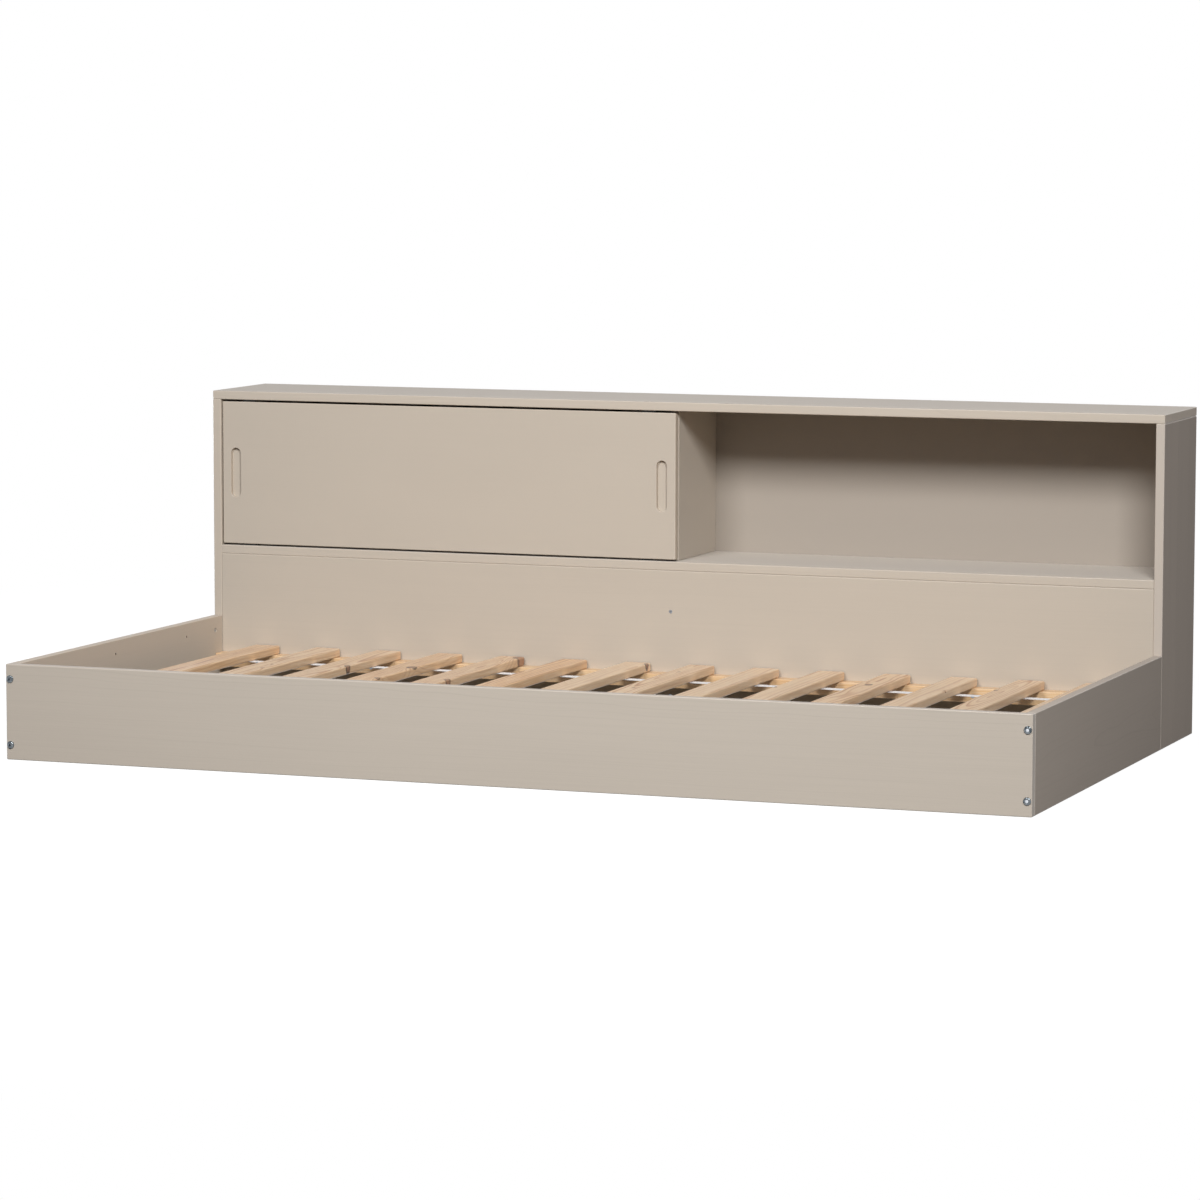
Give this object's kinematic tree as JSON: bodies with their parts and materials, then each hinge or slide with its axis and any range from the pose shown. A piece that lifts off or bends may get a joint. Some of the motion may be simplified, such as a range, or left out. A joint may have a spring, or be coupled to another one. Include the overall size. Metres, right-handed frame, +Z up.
{
  "type": "storage daybed",
  "caption": "Low single daybed with an open front, a slatted pine base and a long storage cabinet along its back, with a sliding door before its compartments.",
  "frame": {"origin": "on the floor, in the middle of the object's length and depth", "axes": "+X along the bed, to the right as seen from its open side, +Y from the open side towards the cabinet, +Z up"},
  "size_m": [2.05, 1.199, 0.66],
  "materials": {
    "painted_pine": "clay grey paint over pine, with a faint grain",
    "raw_pine": "planed, untreated",
    "zinc_steel": "bright zinc plated",
    "cast_zinc": "cast zinc alloy, dull",
    "beech": "turned and fluted dowel stock",
    "white_webbing": "woven white tape",
    "nylon": "moulded black nylon"
  },
  "bodies": {
    "frame": {"front_board": "painted_pine", "left_side_board": "painted_pine", "right_side_board": "painted_pine", "cabinet_left_side": "painted_pine", "cabinet_right_side": "painted_pine", "cabinet_top": "painted_pine", "cabinet_shelf": "painted_pine", "cabinet_divider": "painted_pine", "cabinet_back_panel": "painted_pine", "lower_back_panel": "painted_pine", "centre_upright": "painted_pine", "front_ledger": "raw_pine", "back_ledger": "raw_pine", "slat_01": "raw_pine", "slat_02": "raw_pine", "slat_03": "raw_pine", "slat_04": "raw_pine", "slat_05": "raw_pine", "slat_06": "raw_pine", "slat_07": "raw_pine", "slat_08": "raw_pine", "slat_09": "raw_pine", "slat_10": "raw_pine", "slat_11": "raw_pine", "slat_12": "raw_pine", "slat_13": "raw_pine", "slat_14": "raw_pine", "front_slat_tape": "white_webbing", "back_slat_tape": "white_webbing", "tape_staples": "zinc_steel", "front_bolts": "zinc_steel", "rear_studs": "zinc_steel", "front_barrel_nuts": "zinc_steel", "rear_barrel_nuts": "zinc_steel", "front_ledger_screws": "zinc_steel", "back_ledger_screws": "zinc_steel", "panel_screws": "zinc_steel", "divider_screws": "zinc_steel", "back_panel_screws": "zinc_steel", "cam_bolts": "zinc_steel", "cam_locks": "cast_zinc", "cabinet_dowels": "beech"},
    "door": {"sliding_door": "painted_pine", "door_glides": "nylon", "door_guides": "nylon"}
  },
  "joints": [
    {"name": "door_slide", "type": "slide", "parent": "frame", "child": "door", "axis": [1, 0, 0], "range_m": [0, 0.997]}
  ]
}
